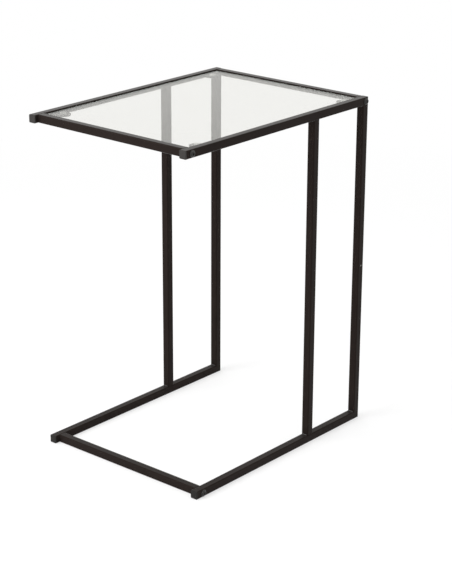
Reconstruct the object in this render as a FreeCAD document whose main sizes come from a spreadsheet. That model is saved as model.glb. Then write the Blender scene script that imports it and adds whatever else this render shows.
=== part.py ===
"""C-shaped side table: welded steel side frames, bolted cross rails and a drop-in glass top.

Frame: X across the table, Y from the open front (-Y) to the posts at the rear (+Y), Z up.
The origin lies on the floor under the middle of the table. All sizes are in millimetres.
"""
import FreeCAD, Part
import math
import os

import Sketcher
from FreeCAD import Rotation, Vector

# name, value, what it sizes
SIZES = [
    ("frame_width", 370, "outside to outside of the side frames, along X"),
    ("frame_height", 640, "floor to the top face of the upper rails"),
    ("top_length", 500, "upper side rail with its end cap, along Y"),
    ("base_length", 475, "lower side rail with its end cap, along Y"),
    ("post_spacing", 130, "clear gap between the inner post and the rear post"),
    ("tube_size", 15, "outside of the square tube"),
    ("tube_wall", 1.2, "wall of the square tube"),
    ("tube_radius", 2, "outside corner radius of the square tube"),
    ("top_setback", 8, "front cross rail behind the ends of the upper rails"),
    ("base_setback", 10, "front cross rail behind the ends of the lower rails"),
    ("vent_height", 315, "floor to the vent hole in each rear post"),
    ("vent_diameter", 3.5, "vent hole in the outer wall of each rear post"),
    ("weld_leg", 2.2, "leg of a fillet weld"),
    ("cap_head", 2.2, "end cap in front of the tube"),
    ("cap_edge", 0.7, "bevelled rim of an end cap"),
    ("plug_stop", 1.3, "end cap's plug short of the bolt behind it"),
    ("plug_wall", 1.3, "wall of the hollow plug"),
    ("plug_clearance", 0.15, "each side of a plug's ribs in the tube"),
    ("rib_height", 0.9, "plug rib above the plug's core"),
    ("rib_width", 1.2, "plug rib along the plug"),
    ("rib_inset", 1.2, "outer ribs from each end of the plug"),
    ("bolt_diameter", 6, "bolt shank"),
    ("bolt_length", 30, "bolt under its head"),
    ("bolt_point", 0.8, "chamfer on the bolt's point"),
    ("head_diameter", 13, "flanged button head"),
    ("head_height", 3.4, "flanged button head"),
    ("head_rim", 0.8, "straight rim of the head's flange"),
    ("head_flat", 6, "flat on top of the head"),
    ("hex_key", 4, "hexagon socket across its flats"),
    ("socket_depth", 2.2, "hexagon socket"),
    ("bolt_clearance", 0.25, "each side of a bolt in its drilled hole"),
    ("insert_depth", 20, "threaded insert along its cross rail"),
    ("insert_clearance", 0.1, "each side of an insert in its tube"),
    ("thread_clearance", 0.05, "each side of a bolt in its insert"),
    ("glass_thickness", 5, "glass top"),
    ("glass_recess", 2, "glass below the top faces of the rails"),
    ("glass_clearance", 1, "glass to the rail beside it"),
    ("glass_corner", 2.5, "corner radius of the glass"),
    ("glass_arris", 0.6, "ground chamfer on the glass's edges"),
    ("glass_lift", 0.3, "glass above its pads"),
    ("tab_reach", 25, "glass tab out from its side rail, along X"),
    ("tab_width", 28, "glass tab along Y; its free end is half round"),
    ("tab_thickness", 2.5, "glass tab"),
    ("front_tab_setback", 20.5, "front glass tabs behind the front cross rail"),
    ("rear_tab_setback", 11, "rear glass tabs in front of the rear cross rail"),
    ("pad_diameter", 12, "clear pad under the glass"),
    ("pad_thickness", 2.7, "clear pad under the glass"),
    ("cut_margin", 2, "how far a cut reaches past the material"),
]

# Places that several pieces share, as expressions of the sizes
RAIL_X = "(Sizes.frame_width - Sizes.tube_size) / 2"
RAIL_FACE_X = "(Sizes.frame_width / 2 - Sizes.tube_size)"
TOP_FRONT_Y = "(-Sizes.top_length / 2)"
BASE_FRONT_Y = "(Sizes.top_length / 2 - Sizes.base_length)"
REAR_POST_Y = "(Sizes.top_length - Sizes.tube_size) / 2"
INNER_POST_Y = "(Sizes.top_length / 2 - 1.5 * Sizes.tube_size - Sizes.post_spacing)"
TOP_RAIL_Z = "(Sizes.frame_height - Sizes.tube_size / 2)"
BASE_RAIL_Z = "Sizes.tube_size / 2"
TOP_CROSS_Y = "(Sizes.top_setback + Sizes.tube_size / 2 - Sizes.top_length / 2)"
BASE_CROSS_Y = (
    "(Sizes.top_length / 2 - Sizes.base_length + Sizes.base_setback + Sizes.tube_size / 2)"
)
CROSS_LENGTH = "(Sizes.frame_width - 2 * Sizes.tube_size)"
GLASS_BASE_Z = "(Sizes.frame_height - Sizes.glass_recess - Sizes.glass_thickness)"
TAB_TOP_Z = f"({GLASS_BASE_Z} - Sizes.glass_lift - Sizes.pad_thickness)"
TAB_STRAIGHT = "(Sizes.tab_reach - Sizes.tab_width / 2)"
TUBE_BORE = "(Sizes.tube_size - 2 * Sizes.tube_wall)"
TUBE_BEFORE_BOLT = (
    "(min(Sizes.top_setback; Sizes.base_setback) + Sizes.tube_size / 2"
    " - Sizes.bolt_diameter / 2 - Sizes.cap_head)"
)
PLUG_DEPTH = f"({TUBE_BEFORE_BOLT} - Sizes.plug_stop)"

# ribs on an end cap's plug
RIB_COUNT = 2
# how far an edge may lie off a plane that it is sorted by
FLAT_ENOUGH = 1e-4

# point numbers and fixed elements of a sketch
START, END, CENTRE = 1, 2, 3
ORIGIN = (-1, 1)
HORIZONTAL_AXIS = -1
VERTICAL_AXIS = -2
Z_DIRECTION = Vector(0, 0, 1)

doc = FreeCAD.newDocument("c_shaped_side_table")
nodes = []


# ---------------------------------------------------------------- document helpers

def make_sheet():
    """Spreadsheet with one aliased cell for each driving size."""
    sheet = doc.addObject("Spreadsheet::Sheet", "Sizes")
    for row, (name, value, note) in enumerate(SIZES, start=1):
        sheet.set(f"A{row}", name)
        sheet.set(f"B{row}", str(value))
        sheet.set(f"C{row}", note)
        sheet.setAlias(f"B{row}", name)
    doc.recompute()
    return sheet


def amount(expression):
    """Plain number that an expression of the sizes has now."""
    result = sheet.evalExpression(expression)
    return float(getattr(result, "Value", result))


def bind(item, **expressions):
    """Ties properties of an object to expressions of the sizes."""
    for name, expression in expressions.items():
        item.setExpression(name, expression)


def place(item, x="0", y="0", z="0"):
    """Ties an object's position to expressions of the sizes."""
    for axis, expression in (("x", x), ("y", y), ("z", z)):
        item.setExpression(f"Placement.Base.{axis}", expression)


def node(item, label):
    """Names an object as a finished sub-part."""
    item.Label = label
    nodes.append(item)
    return item


def new_body(name):
    return doc.addObject("PartDesign::Body", name)


def origin_plane(body, role):
    return next(item for item in body.Origin.OriginFeatures if item.Role == role)


def new_sketch(body, name, role, offset=None):
    """Sketch on one of the body's own origin planes, lifted off it by an expression."""
    sketch = body.newObject("Sketcher::SketchObject", name)
    sketch.AttachmentSupport = [(origin_plane(body, role), "")]
    sketch.MapMode = "FlatFace"
    if offset:
        sketch.setExpression("AttachmentOffset.Base.z", offset)
    return sketch


def dimension(sketch, name, kind, *where, expression):
    """Dimension of a sketch, bound to an expression of the sizes."""
    index = sketch.addConstraint(Sketcher.Constraint(kind, *where, amount(expression)))
    sketch.renameConstraint(index, name)
    sketch.setExpression(f"Constraints.{name}", expression)


def closed_loop(sketch, points):
    """Straight sides through the points, joined end to end; returns the side numbers."""
    sides = []
    for first, second in zip(points, points[1:] + points[:1]):
        sides.append(sketch.addGeometry(Part.LineSegment(first, second), False))
    for side, following in zip(sides, sides[1:] + sides[:1]):
        sketch.addConstraint(Sketcher.Constraint("Coincident", side, END, following, START))
    return sides


# ---------------------------------------------------------------- sketch outlines

def rounded_rectangle(sketch, name, width, depth, radius):
    """Rectangle with four equal corner arcs, centred on the sketch's origin."""
    half_width = amount(width) / 2
    half_depth = amount(depth) / 2
    bend = amount(radius)
    centres = [
        Vector(half_width - bend, half_depth - bend, 0),
        Vector(bend - half_width, half_depth - bend, 0),
        Vector(bend - half_width, bend - half_depth, 0),
        Vector(half_width - bend, bend - half_depth, 0),
    ]
    arcs = []
    for quarter, centre in enumerate(centres):
        circle = Part.Circle(centre, Z_DIRECTION, bend)
        start = quarter * math.pi / 2
        arcs.append(sketch.addGeometry(Part.ArcOfCircle(circle, start, start + math.pi / 2), False))
    sides = []
    for arc, following in zip(arcs, arcs[1:] + arcs[:1]):
        first = sketch.getPoint(arc, END)
        second = sketch.getPoint(following, START)
        side = sketch.addGeometry(Part.LineSegment(first, second), False)
        sketch.addConstraint(Sketcher.Constraint("Tangent", arc, END, side, START))
        sketch.addConstraint(Sketcher.Constraint("Tangent", side, END, following, START))
        sides.append(side)
    top, left, bottom, right = sides
    for side in (top, bottom):
        sketch.addConstraint(Sketcher.Constraint("Horizontal", side))
    for side in (left, right):
        sketch.addConstraint(Sketcher.Constraint("Vertical", side))
    for arc in arcs[1:]:
        sketch.addConstraint(Sketcher.Constraint("Equal", arcs[0], arc))
    sketch.addConstraint(Sketcher.Constraint("Symmetric", arcs[0], CENTRE, arcs[2], CENTRE, *ORIGIN))
    dimension(sketch, f"{name}_width", "DistanceX", left, START, right, START, expression=width)
    dimension(sketch, f"{name}_depth", "DistanceY", bottom, START, top, START, expression=depth)
    dimension(sketch, f"{name}_radius", "Radius", arcs[0], expression=radius)


def square(sketch, name, side):
    """Square with sharp corners, centred on the sketch's origin."""
    half = amount(side) / 2
    corners = [
        Vector(-half, -half, 0),
        Vector(half, -half, 0),
        Vector(half, half, 0),
        Vector(-half, half, 0),
    ]
    bottom, right, top, left = closed_loop(sketch, corners)
    for level in (bottom, top):
        sketch.addConstraint(Sketcher.Constraint("Horizontal", level))
    for upright in (right, left):
        sketch.addConstraint(Sketcher.Constraint("Vertical", upright))
    sketch.addConstraint(Sketcher.Constraint("Equal", bottom, right))
    sketch.addConstraint(Sketcher.Constraint("Symmetric", bottom, START, top, START, *ORIGIN))
    dimension(sketch, f"{name}_side", "Distance", bottom, expression=side)


def circle_on_axis(sketch, name, along, diameter, axis=HORIZONTAL_AXIS):
    """Circle centred on a sketch axis, at a distance along it from the origin."""
    kind = "DistanceX" if axis == HORIZONTAL_AXIS else "DistanceY"
    distance = amount(along)
    centre = Vector(distance, 0, 0) if axis == HORIZONTAL_AXIS else Vector(0, distance, 0)
    circle = sketch.addGeometry(Part.Circle(centre, Z_DIRECTION, amount(diameter) / 2), False)
    sketch.addConstraint(Sketcher.Constraint("PointOnObject", circle, CENTRE, axis))
    dimension(sketch, f"{name}_place", kind, *ORIGIN, circle, CENTRE, expression=along)
    dimension(sketch, f"{name}_diameter", "Diameter", circle, expression=diameter)


def right_triangle(sketch, name, corner, leg, directions):
    """Right-angled triangle with equal legs that leave its corner in the given directions."""
    corner_x, corner_y = corner
    step_x, step_y = directions
    apex = Vector(amount(corner_x), amount(corner_y), 0)
    along = Vector(step_x * amount(leg), 0, 0)
    across = Vector(0, step_y * amount(leg), 0)
    level, slope, upright = closed_loop(sketch, [apex, apex + along, apex + across])
    sketch.addConstraint(Sketcher.Constraint("Horizontal", level))
    sketch.addConstraint(Sketcher.Constraint("Vertical", upright))
    sketch.addConstraint(Sketcher.Constraint("Equal", level, upright))
    dimension(sketch, f"{name}_leg", "Distance", level, expression=leg)
    dimension(sketch, f"{name}_x", "DistanceX", *ORIGIN, level, START, expression=corner_x)
    dimension(sketch, f"{name}_y", "DistanceY", *ORIGIN, level, START, expression=corner_y)


# ---------------------------------------------------------------- body features

def pad(body, name, sketch, length, reverse=False, middle=False):
    feature = body.newObject("PartDesign::Pad", name)
    feature.Profile = sketch
    feature.Reversed = reverse
    feature.Midplane = middle
    bind(feature, Length=length)
    return feature


def pocket_through(body, name, sketch):
    """Cut through the whole body, to both sides of the sketch."""
    feature = body.newObject("PartDesign::Pocket", name)
    feature.Profile = sketch
    feature.Type = "ThroughAll"
    feature.Midplane = True
    return feature


def pocket_depth(body, name, sketch, depth, reverse=False):
    feature = body.newObject("PartDesign::Pocket", name)
    feature.Profile = sketch
    feature.Reversed = reverse
    bind(feature, Length=depth)
    return feature


def edges_in_plane(body, axis, level):
    """Names of the edges that lie in a plane square to an axis of the body."""
    doc.recompute()
    shape = body.Tip.Shape
    low = f"{axis}Min"
    high = f"{axis}Max"
    names = []
    for number, edge in enumerate(shape.Edges, start=1):
        ends = (getattr(edge.BoundBox, low), getattr(edge.BoundBox, high))
        if all(abs(end - level) < FLAT_ENOUGH for end in ends):
            names.append(f"Edge{number}")
    return names


def dress(body, name, kind, edges, **sizes):
    """Fillet or chamfer on the named edges of the body's last feature."""
    base = body.Tip
    feature = body.newObject(f"PartDesign::{kind}", name)
    feature.Base = (base, edges)
    bind(feature, **sizes)
    return feature


# ---------------------------------------------------------------- square tubes

def square_tube(name, role, length, reverse=False):
    """Hollow square tube with rounded corners, from its own origin along one axis."""
    body = new_body(name)
    profile = new_sketch(body, f"{name}_profile", role)
    rounded_rectangle(profile, "outside", "Sizes.tube_size", "Sizes.tube_size", "Sizes.tube_radius")
    square(profile, "inside", TUBE_BORE)
    pad(body, f"{name}_tube", profile, length, reverse=reverse)
    return body


def cut_mitre(body, name, corner, directions):
    """Forty-five degree end cut, made with a triangle that reaches past the tube."""
    sketch = new_sketch(body, f"{name}_outline", "YZ_Plane")
    right_triangle(sketch, "cut", corner, "(Sizes.tube_size + 2 * Sizes.cut_margin)", directions)
    pocket_through(body, name, sketch)


def drill_across(body, name, along, axis=HORIZONTAL_AXIS):
    """Clearance hole for a bolt through both walls, on the tube's centre line."""
    sketch = new_sketch(body, f"{name}_outline", "YZ_Plane")
    diameter = "(Sizes.bolt_diameter + 2 * Sizes.bolt_clearance)"
    circle_on_axis(sketch, "hole", along, diameter, axis)
    pocket_through(body, name, sketch)


def side_rail(name, length, front_bolt, upper):
    """Rail of a side frame: square front end for its cap, mitred rear end, bolt holes."""
    tube_length = f"({length} - Sizes.cap_head)"
    body = square_tube(name, "XZ_Plane", tube_length, reverse=True)
    beyond = f"({tube_length} + Sizes.cut_margin)"
    overhang = "(Sizes.tube_size / 2 + Sizes.cut_margin)"
    if upper:
        cut_mitre(body, f"{name}_mitre", (beyond, f"(-{overhang})"), (-1, 1))
        drill_across(body, f"{name}_rear_hole", f"({tube_length} - Sizes.tube_size / 2)")
    else:
        cut_mitre(body, f"{name}_mitre", (beyond, overhang), (-1, -1))
    drill_across(body, f"{name}_front_hole", front_bolt)
    return body


def rear_post(name, outward):
    """Post mitred at both ends, with the upper bolt hole and a vent in its outer wall."""
    body = square_tube(name, "XY_Plane", "Sizes.frame_height")
    front = "(-Sizes.tube_size / 2 - Sizes.cut_margin)"
    cut_mitre(body, f"{name}_lower_mitre", (front, "(-Sizes.cut_margin)"), (1, 1))
    cut_mitre(body, f"{name}_upper_mitre", (front, "(Sizes.frame_height + Sizes.cut_margin)"), (1, -1))
    drill_across(body, f"{name}_bolt_hole", TOP_RAIL_Z, VERTICAL_AXIS)
    sketch = new_sketch(body, f"{name}_vent_outline", "YZ_Plane")
    circle_on_axis(sketch, "vent", "Sizes.vent_height", "Sizes.vent_diameter", VERTICAL_AXIS)
    pocket_depth(body, f"{name}_vent", sketch, "Sizes.tube_size", reverse=outward > 0)
    return body


def make_side_frames():
    for side, outward in (("left", -1), ("right", 1)):
        x = f"({outward} * {RAIL_X})"

        front_bolt = "(Sizes.top_setback + Sizes.tube_size / 2 - Sizes.cap_head)"
        top = side_rail(f"{side}_top", "Sizes.top_length", front_bolt, upper=True)
        place(top, x, f"({TOP_FRONT_Y} + Sizes.cap_head)", TOP_RAIL_Z)
        node(top, f"{side}_top_rail")

        front_bolt = "(Sizes.base_setback + Sizes.tube_size / 2 - Sizes.cap_head)"
        base = side_rail(f"{side}_base", "Sizes.base_length", front_bolt, upper=False)
        place(base, x, f"({BASE_FRONT_Y} + Sizes.cap_head)", BASE_RAIL_Z)
        node(base, f"{side}_base_rail")

        rear = rear_post(f"{side}_rear", outward)
        place(rear, x, REAR_POST_Y)
        node(rear, f"{side}_rear_post")

        inner_length = "(Sizes.frame_height - 2 * Sizes.tube_size)"
        inner = square_tube(f"{side}_inner", "XY_Plane", inner_length)
        place(inner, x, INNER_POST_Y, "Sizes.tube_size")
        node(inner, f"{side}_inner_post")

        welds = frame_welds(f"{side}_welds")
        place(welds, x)
        node(welds, f"{side}_frame_welds")


def frame_welds(name):
    """Fillet welds in the inside corners between the posts and the rails of a side frame."""
    body = new_body(name)
    body.AllowCompound = True
    sketch = new_sketch(body, f"{name}_profile", "YZ_Plane")
    inner_front = f"({INNER_POST_Y} - Sizes.tube_size / 2)"
    inner_back = f"({INNER_POST_Y} + Sizes.tube_size / 2)"
    rear_front = f"({REAR_POST_Y} - Sizes.tube_size / 2)"
    levels = {"lower": ("Sizes.tube_size", 1), "upper": ("(Sizes.frame_height - Sizes.tube_size)", -1)}
    corners = {"inner_front": (inner_front, -1), "inner_back": (inner_back, 1), "rear": (rear_front, -1)}
    for level, (height, step_z) in levels.items():
        for corner, (face, step_y) in corners.items():
            right_triangle(sketch, f"{corner}_{level}", (face, height), "Sizes.weld_leg", (step_y, step_z))
    pad(body, f"{name}_beads", sketch, "(Sizes.tube_size - 2 * Sizes.tube_radius)", middle=True)
    return body


def make_cross_rails():
    rails = {
        "front_top_cross_rail": (TOP_CROSS_Y, TOP_RAIL_Z),
        "rear_top_cross_rail": (REAR_POST_Y, TOP_RAIL_Z),
        "front_base_cross_rail": (BASE_CROSS_Y, BASE_RAIL_Z),
    }
    for label, (y, z) in rails.items():
        rail = square_tube(f"{label}_body", "YZ_Plane", CROSS_LENGTH)
        place(rail, f"(-{RAIL_FACE_X})", y, z)
        node(rail, label)

        fixing = label.replace("_cross_rail", "")
        insert = threaded_insert(f"{fixing}_insert")
        place(insert, RAIL_FACE_X, y, z)
        mirrored_pair(insert, f"{fixing}_inserts")

        bolt = button_bolt(f"{fixing}_bolt")
        place(bolt, "Sizes.frame_width / 2", y, z)
        mirrored_pair(bolt, f"{fixing}_bolts")


# ---------------------------------------------------------------- fixings

def mirrored_pair(item, label):
    """The right-hand piece and its mirror image on the left, as one node."""
    image = doc.addObject("Part::Mirroring", f"{label}_left")
    image.Source = item
    image.Base = Vector(0, 0, 0)
    image.Normal = Vector(1, 0, 0)
    pair = doc.addObject("Part::Compound", f"{label}_pair")
    pair.Links = [item, image]
    return node(pair, label)


def threaded_insert(name):
    """Square steel block that closes the end of a cross rail and takes the bolt."""
    body = new_body(name)
    outline = new_sketch(body, f"{name}_outline", "YZ_Plane")
    square(outline, "block", f"({TUBE_BORE} - 2 * Sizes.insert_clearance)")
    pad(body, f"{name}_block", outline, "Sizes.insert_depth", reverse=True)
    bore = new_sketch(body, f"{name}_bore_outline", "YZ_Plane")
    diameter = "(Sizes.bolt_diameter + 2 * Sizes.thread_clearance)"
    circle_on_axis(bore, "bore", "0", diameter)
    pocket_through(body, f"{name}_bore", bore)
    return body


def button_bolt(name):
    """Flanged button-head bolt: the head stands outside (+X), the shank runs inwards (-X)."""
    body = new_body(name)
    profile = new_sketch(body, f"{name}_profile", "XY_Plane")
    shank_end = -amount("Sizes.bolt_length")
    shank = amount("Sizes.bolt_diameter / 2")
    point = amount("Sizes.bolt_point")
    flange = amount("Sizes.head_diameter / 2")
    rim = amount("Sizes.head_rim")
    crown = amount("Sizes.head_height")
    flat = amount("Sizes.head_flat / 2")
    corners = [
        Vector(crown, 0, 0),
        Vector(shank_end, 0, 0),
        Vector(shank_end, shank - point, 0),
        Vector(shank_end + point, shank, 0),
        Vector(0, shank, 0),
        Vector(0, flange, 0),
        Vector(rim, flange, 0),
    ]
    sides = []
    for first, second in zip(corners, corners[1:]):
        sides.append(profile.addGeometry(Part.LineSegment(first, second), False))
    centre_x = ((crown ** 2 + flat ** 2) - (rim ** 2 + flange ** 2)) / (2 * (crown - rim))
    dome = Part.Circle(Vector(centre_x, 0, 0), Z_DIRECTION, math.hypot(crown - centre_x, flat))
    low = math.atan2(flat, crown - centre_x)
    high = math.atan2(flange, rim - centre_x)
    arc = profile.addGeometry(Part.ArcOfCircle(dome, low, high), False)
    top = profile.addGeometry(Part.LineSegment(Vector(crown, flat, 0), corners[0]), False)

    for side, following in zip(sides, sides[1:]):
        profile.addConstraint(Sketcher.Constraint("Coincident", side, END, following, START))
    axis, end_face, chamfer, shank_side, bearing, rim_side = sides
    profile.addConstraint(Sketcher.Constraint("Coincident", rim_side, END, arc, END))
    profile.addConstraint(Sketcher.Constraint("Coincident", arc, START, top, START))
    profile.addConstraint(Sketcher.Constraint("Coincident", top, END, axis, START))
    profile.addConstraint(Sketcher.Constraint("PointOnObject", axis, START, HORIZONTAL_AXIS))
    profile.addConstraint(Sketcher.Constraint("PointOnObject", arc, CENTRE, HORIZONTAL_AXIS))
    profile.addConstraint(Sketcher.Constraint("PointOnObject", bearing, START, VERTICAL_AXIS))
    for level in (axis, shank_side, rim_side):
        profile.addConstraint(Sketcher.Constraint("Horizontal", level))
    for upright in (end_face, bearing, top):
        profile.addConstraint(Sketcher.Constraint("Vertical", upright))

    points = {
        "length": ("DistanceX", axis, END, *ORIGIN, "Sizes.bolt_length"),
        "shank_radius": ("DistanceY", *ORIGIN, bearing, START, "Sizes.bolt_diameter / 2"),
        "point_length": ("DistanceX", chamfer, START, chamfer, END, "Sizes.bolt_point"),
        "point_depth": ("DistanceY", chamfer, START, chamfer, END, "Sizes.bolt_point"),
        "flange_radius": ("DistanceY", *ORIGIN, bearing, END, "Sizes.head_diameter / 2"),
        "rim_width": ("DistanceX", rim_side, START, rim_side, END, "Sizes.head_rim"),
        "crown_height": ("DistanceX", *ORIGIN, axis, START, "Sizes.head_height"),
        "flat_radius": ("DistanceY", *ORIGIN, top, START, "Sizes.head_flat / 2"),
    }
    for label, (kind, *where, expression) in points.items():
        dimension(profile, label, kind, *where, expression=expression)

    turned = body.newObject("PartDesign::Revolution", f"{name}_turned")
    turned.Profile = profile
    turned.ReferenceAxis = (profile, ["H_Axis"])
    turned.Angle = 360

    socket = body.newObject("PartDesign::SubtractivePrism", f"{name}_socket")
    socket.AttachmentSupport = [(origin_plane(body, "YZ_Plane"), "")]
    socket.MapMode = "FlatFace"
    socket.Polygon = 6
    socket.setExpression("AttachmentOffset.Base.z", "Sizes.head_height - Sizes.socket_depth")
    bind(socket, Circumradius="Sizes.hex_key / sqrt(3)", Height="Sizes.socket_depth + Sizes.cut_margin")
    body.Tip = socket
    return body


# ---------------------------------------------------------------- end caps

def end_cap(name):
    """Push-in cap: bevelled head in front (-Y), ribbed hollow plug in the tube (+Y)."""
    body = new_body(name)
    head = new_sketch(body, f"{name}_head_outline", "XZ_Plane")
    rounded_rectangle(head, "head", "Sizes.tube_size", "Sizes.tube_size", "Sizes.tube_radius")
    pad(body, f"{name}_head", head, "Sizes.cap_head")
    rim = edges_in_plane(body, "Y", -amount("Sizes.cap_head"))
    dress(body, f"{name}_rim", "Chamfer", rim, Size="Sizes.cap_edge")

    rib_side = f"({TUBE_BORE} - 2 * Sizes.plug_clearance)"
    core_side = f"({rib_side} - 2 * Sizes.rib_height)"
    core = new_sketch(body, f"{name}_core_outline", "XZ_Plane")
    square(core, "core", core_side)
    pad(body, f"{name}_core", core, PLUG_DEPTH, reverse=True)

    rib = new_sketch(body, f"{name}_rib_outline", "XZ_Plane", "(-Sizes.rib_inset)")
    square(rib, "rib", rib_side)
    rib_pad = pad(body, f"{name}_rib", rib, "Sizes.rib_width", reverse=True)
    ribs = body.newObject("PartDesign::LinearPattern", f"{name}_ribs")
    ribs.Originals = [rib_pad]
    ribs.Direction = (rib, ["N_Axis"])
    ribs.Reversed = True
    spread = f"{PLUG_DEPTH} - 2 * Sizes.rib_inset - Sizes.rib_width"
    ribs.Occurrences = RIB_COUNT
    bind(ribs, Length=spread)
    body.Tip = ribs

    hollow = new_sketch(body, f"{name}_hollow_outline", "XZ_Plane")
    square(hollow, "hollow", f"({core_side} - 2 * Sizes.plug_wall)")
    depth = f"({PLUG_DEPTH} + Sizes.cut_margin)"
    pocket_depth(body, f"{name}_hollow", hollow, depth)
    return body


def make_end_caps():
    for side, outward in (("left", -1), ("right", 1)):
        x = f"({outward} * {RAIL_X})"
        upper = end_cap(f"{side}_top_plug")
        place(upper, x, f"({TOP_FRONT_Y} + Sizes.cap_head)", TOP_RAIL_Z)
        node(upper, f"{side}_top_end_cap")
        lower = end_cap(f"{side}_base_plug")
        place(lower, x, f"({BASE_FRONT_Y} + Sizes.cap_head)", BASE_RAIL_Z)
        node(lower, f"{side}_base_end_cap")


# ---------------------------------------------------------------- glass and its supports

def glass_tab(name):
    """Flat tab along X: the middle of its root at its own origin, its free end half round."""
    body = new_body(name)
    sketch = new_sketch(body, f"{name}_outline", "XY_Plane")
    bend = amount("Sizes.tab_width / 2")
    straight = amount(TAB_STRAIGHT)
    corners = [
        Vector(straight, bend, 0),
        Vector(0, bend, 0),
        Vector(0, -bend, 0),
        Vector(straight, -bend, 0),
    ]
    sides = []
    for first, second in zip(corners, corners[1:]):
        sides.append(sketch.addGeometry(Part.LineSegment(first, second), False))
    back, root, front = sides
    circle = Part.Circle(Vector(straight, 0, 0), Z_DIRECTION, bend)
    tip = sketch.addGeometry(Part.ArcOfCircle(circle, -math.pi / 2, math.pi / 2), False)
    sketch.addConstraint(Sketcher.Constraint("Coincident", back, END, root, START))
    sketch.addConstraint(Sketcher.Constraint("Coincident", root, END, front, START))
    sketch.addConstraint(Sketcher.Constraint("Tangent", front, END, tip, START))
    sketch.addConstraint(Sketcher.Constraint("Tangent", tip, END, back, START))
    sketch.addConstraint(Sketcher.Constraint("Horizontal", back))
    sketch.addConstraint(Sketcher.Constraint("Horizontal", front))
    sketch.addConstraint(Sketcher.Constraint("Vertical", root))
    sketch.addConstraint(Sketcher.Constraint("PointOnObject", root, START, VERTICAL_AXIS))
    sketch.addConstraint(Sketcher.Constraint("PointOnObject", tip, CENTRE, HORIZONTAL_AXIS))
    dimension(sketch, "width", "DistanceY", root, END, root, START, expression="Sizes.tab_width")
    dimension(sketch, "straight", "DistanceX", *ORIGIN, tip, CENTRE, expression=TAB_STRAIGHT)
    pad(body, f"{name}_plate", sketch, "Sizes.tab_thickness", middle=True)
    return body


def glass_pad(name):
    """Round clear pad, standing on its own origin."""
    body = new_body(name)
    sketch = new_sketch(body, f"{name}_outline", "XY_Plane")
    circle_on_axis(sketch, "pad", "0", "Sizes.pad_diameter")
    pad(body, f"{name}_disc", sketch, "Sizes.pad_thickness")
    return body


def make_glass_supports():
    """Near each end of both side rails: a tab, with a pad in the middle of its round end."""
    half_tube_and_tab = "(Sizes.tube_size + Sizes.tab_width) / 2"
    rows = {
        "front": f"({TOP_CROSS_Y} + {half_tube_and_tab} + Sizes.front_tab_setback)",
        "rear": f"({REAR_POST_Y} - {half_tube_and_tab} - Sizes.rear_tab_setback)",
    }
    turns = {"left": Rotation(), "right": Rotation(Z_DIRECTION, 180)}
    for end, y in rows.items():
        for side, turn in turns.items():
            inwards = 1 if side == "left" else -1
            root_x = f"(-({inwards}) * {RAIL_FACE_X})"

            tab = glass_tab(f"{end}_{side}_plate")
            tab.Placement.Rotation = turn
            place(tab, root_x, y, f"({TAB_TOP_Z} - Sizes.tab_thickness / 2)")
            node(tab, f"{end}_{side}_glass_tab")

            disc = glass_pad(f"{end}_{side}_disc")
            place(disc, f"({root_x} + ({inwards}) * {TAB_STRAIGHT})", y, TAB_TOP_Z)
            node(disc, f"{end}_{side}_glass_pad")


def make_glass():
    """Flat pane with small corner radii and ground edges, inside the upper frame."""
    body = new_body("pane")
    outline = new_sketch(body, "pane_outline", "XY_Plane")
    width = f"({CROSS_LENGTH} - 2 * Sizes.glass_clearance)"
    opening = "(Sizes.top_length - Sizes.top_setback - 2 * Sizes.tube_size)"
    depth = f"({opening} - 2 * Sizes.glass_clearance)"
    rounded_rectangle(outline, "pane", width, depth, "Sizes.glass_corner")
    pad(body, "pane_sheet", outline, "Sizes.glass_thickness")
    lower = edges_in_plane(body, "Z", 0)
    upper = edges_in_plane(body, "Z", amount("Sizes.glass_thickness"))
    dress(body, "pane_arris", "Chamfer", lower + upper, Size="Sizes.glass_arris")
    place(body, "0", "Sizes.top_setback / 2", GLASS_BASE_Z)
    node(body, "glass_top")


# ---------------------------------------------------------------- build, check, write

def check_document():
    """Stops when any object failed or any sub-part has no sound solid."""
    for item in doc.Objects:
        states = set(item.State)
        if states & {"Invalid", "Error"}:
            raise RuntimeError(f"{item.Name} did not compute: {item.State}")
    for item in nodes:
        shape = item.Shape
        if shape.isNull() or not shape.isValid() or not shape.Solids:
            raise RuntimeError(f"{item.Label} has no sound solid")


def write_nodes():
    os.makedirs("parts", exist_ok=True)
    for item in nodes:
        item.Shape.exportStep(f"parts/{item.Label}.step")


sheet = make_sheet()
make_side_frames()
make_cross_rails()
make_end_caps()
make_glass_supports()
make_glass()
doc.recompute()
check_document()
write_nodes()
for item in nodes:
    box = item.Shape.BoundBox
    solids = len(item.Shape.Solids)
    print(f"{item.Label}: {solids} solid(s), {box.XLength:.1f} x {box.YLength:.1f} x {box.ZLength:.1f} mm")
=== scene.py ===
from math import cos, pi, radians, sin

import bmesh
import bpy
from bpy.props import FloatProperty, FloatVectorProperty, IntProperty, PointerProperty
from mathutils import Matrix, Vector


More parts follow.
